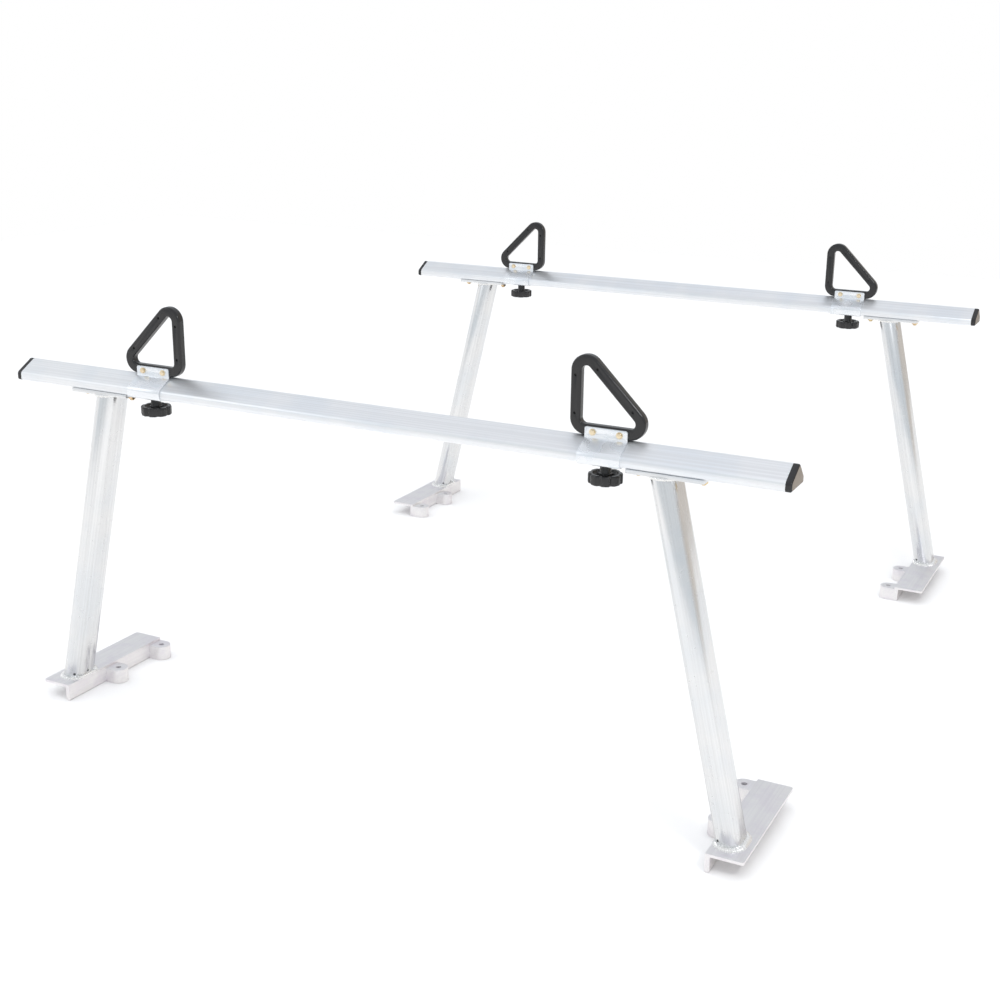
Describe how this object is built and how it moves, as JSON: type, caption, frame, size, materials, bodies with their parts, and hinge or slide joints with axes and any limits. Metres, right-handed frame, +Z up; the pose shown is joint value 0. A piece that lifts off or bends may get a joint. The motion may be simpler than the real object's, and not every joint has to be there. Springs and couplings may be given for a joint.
{
  "type": "ladder rack",
  "caption": "Aluminium ladder rack for a pickup bed: front and rear portals with sliding legs, clamped loop stops and hand knobs.",
  "frame": {"origin": "middle of the rack, on the plane that the lowest edges of the feet stand on", "axes": "+X along the crossbars to the right-hand end, +Y from the front portal to the rear portal, +Z up"},
  "size_m": [1.79, 1.936, 0.955],
  "materials": {
    "brushed_bar": "mill finish extrusion, fine lines along the bar",
    "mill_aluminium": "mill finish, light scuffs",
    "weld_aluminium": "rippled weld bead",
    "bright_zinc": "bright zinc plate",
    "yellow_zinc": "yellow zinc plate",
    "black_plastic": "gloss moulded",
    "cap_plastic": "gloss moulded"
  },
  "bodies": {
    "front_portal": {"front_crossbar": "brushed_bar", "front_left_end_cap": "cap_plastic", "front_right_end_cap": "cap_plastic"},
    "rear_portal": {"rear_crossbar": "brushed_bar", "rear_left_end_cap": "cap_plastic", "rear_right_end_cap": "cap_plastic"},
    "front_left_leg": {"front_left_leg_tube": "mill_aluminium", "front_left_top_plate": "mill_aluminium", "front_left_foot": "mill_aluminium", "front_left_leg_welds": "weld_aluminium", "front_left_slot_bolts": "yellow_zinc", "front_left_flange_nuts": "yellow_zinc"},
    "front_left_stop": {"front_left_stop_bracket": "bright_zinc", "front_left_stop_loop": "black_plastic", "front_left_loop_screws": "yellow_zinc", "front_left_loop_nuts": "yellow_zinc", "front_left_stop_bolt": "yellow_zinc"},
    "front_left_washer": {"front_left_stop_washer": "yellow_zinc"},
    "front_left_knob": {"front_left_stop_knob": "black_plastic"},
    "front_right_leg": {"front_right_leg_tube": "mill_aluminium", "front_right_top_plate": "mill_aluminium", "front_right_foot": "mill_aluminium", "front_right_leg_welds": "weld_aluminium", "front_right_slot_bolts": "yellow_zinc", "front_right_flange_nuts": "yellow_zinc"},
    "front_right_stop": {"front_right_stop_bracket": "bright_zinc", "front_right_stop_loop": "black_plastic", "front_right_loop_screws": "yellow_zinc", "front_right_loop_nuts": "yellow_zinc", "front_right_stop_bolt": "yellow_zinc"},
    "front_right_washer": {"front_right_stop_washer": "yellow_zinc"},
    "front_right_knob": {"front_right_stop_knob": "black_plastic"},
    "rear_left_leg": {"rear_left_leg_tube": "mill_aluminium", "rear_left_top_plate": "mill_aluminium", "rear_left_foot": "mill_aluminium", "rear_left_leg_welds": "weld_aluminium", "rear_left_slot_bolts": "yellow_zinc", "rear_left_flange_nuts": "yellow_zinc"},
    "rear_left_stop": {"rear_left_stop_bracket": "bright_zinc", "rear_left_stop_loop": "black_plastic", "rear_left_loop_screws": "yellow_zinc", "rear_left_loop_nuts": "yellow_zinc", "rear_left_stop_bolt": "yellow_zinc"},
    "rear_left_washer": {"rear_left_stop_washer": "yellow_zinc"},
    "rear_left_knob": {"rear_left_stop_knob": "black_plastic"},
    "rear_right_leg": {"rear_right_leg_tube": "mill_aluminium", "rear_right_top_plate": "mill_aluminium", "rear_right_foot": "mill_aluminium", "rear_right_leg_welds": "weld_aluminium", "rear_right_slot_bolts": "yellow_zinc", "rear_right_flange_nuts": "yellow_zinc"},
    "rear_right_stop": {"rear_right_stop_bracket": "bright_zinc", "rear_right_stop_loop": "black_plastic", "rear_right_loop_screws": "yellow_zinc", "rear_right_loop_nuts": "yellow_zinc", "rear_right_stop_bolt": "yellow_zinc"},
    "rear_right_washer": {"rear_right_stop_washer": "yellow_zinc"},
    "rear_right_knob": {"rear_right_stop_knob": "black_plastic"}
  },
  "joints": [
    {"name": "rear_portal_slide", "type": "slide", "parent": "front_portal", "child": "rear_portal", "axis": [0, 1, 0], "range_m": [-0.4, 0.4]},
    {"name": "front_left_leg_slide", "type": "slide", "parent": "front_portal", "child": "front_left_leg", "axis": [-1, 0, 0], "range_m": [0, 0.12]},
    {"name": "front_left_stop_slide", "type": "slide", "parent": "front_portal", "child": "front_left_stop", "axis": [1, 0, 0], "range_m": [0, 0.44]},
    {"name": "front_left_washer_drop", "type": "slide", "parent": "front_left_stop", "child": "front_left_washer", "axis": [0, 0, -1], "range_m": [0, 0.0045]},
    {"name": "front_left_knob_turn", "type": "hinge", "parent": "front_left_washer", "child": "front_left_knob", "pos_m": [-0.531, -0.9, 0.74], "axis": [0, 0, -1], "range_deg": [0, 1081]},
    {"name": "front_right_leg_slide", "type": "slide", "parent": "front_portal", "child": "front_right_leg", "axis": [1, 0, 0], "range_m": [0, 0.12]},
    {"name": "front_right_stop_slide", "type": "slide", "parent": "front_portal", "child": "front_right_stop", "axis": [-1, 0, 0], "range_m": [0, 0.44]},
    {"name": "front_right_washer_drop", "type": "slide", "parent": "front_right_stop", "child": "front_right_washer", "axis": [0, 0, -1], "range_m": [0, 0.0045]},
    {"name": "front_right_knob_turn", "type": "hinge", "parent": "front_right_washer", "child": "front_right_knob", "pos_m": [0.531, -0.9, 0.74], "axis": [0, 0, -1], "range_deg": [0, 1081]},
    {"name": "rear_left_leg_slide", "type": "slide", "parent": "rear_portal", "child": "rear_left_leg", "axis": [-1, 0, 0], "range_m": [0, 0.12]},
    {"name": "rear_left_stop_slide", "type": "slide", "parent": "rear_portal", "child": "rear_left_stop", "axis": [1, 0, 0], "range_m": [0, 0.44]},
    {"name": "rear_left_washer_drop", "type": "slide", "parent": "rear_left_stop", "child": "rear_left_washer", "axis": [0, 0, -1], "range_m": [0, 0.0045]},
    {"name": "rear_left_knob_turn", "type": "hinge", "parent": "rear_left_washer", "child": "rear_left_knob", "pos_m": [-0.531, 0.9, 0.74], "axis": [0, 0, -1], "range_deg": [0, 1081]},
    {"name": "rear_right_leg_slide", "type": "slide", "parent": "rear_portal", "child": "rear_right_leg", "axis": [1, 0, 0], "range_m": [0, 0.12]},
    {"name": "rear_right_stop_slide", "type": "slide", "parent": "rear_portal", "child": "rear_right_stop", "axis": [-1, 0, 0], "range_m": [0, 0.44]},
    {"name": "rear_right_washer_drop", "type": "slide", "parent": "rear_right_stop", "child": "rear_right_washer", "axis": [0, 0, -1], "range_m": [0, 0.0045]},
    {"name": "rear_right_knob_turn", "type": "hinge", "parent": "rear_right_washer", "child": "rear_right_knob", "pos_m": [0.531, 0.9, 0.74], "axis": [0, 0, -1], "range_deg": [0, 1081]}
  ],
  "couplings": [
    {"joint": "front_left_knob_turn", "follows": "front_left_washer_drop", "rad_per_m": 4188.8},
    {"joint": "front_right_knob_turn", "follows": "front_right_washer_drop", "rad_per_m": 4188.8},
    {"joint": "rear_left_knob_turn", "follows": "rear_left_washer_drop", "rad_per_m": 4188.8},
    {"joint": "rear_right_knob_turn", "follows": "rear_right_washer_drop", "rad_per_m": 4188.8}
  ]
}
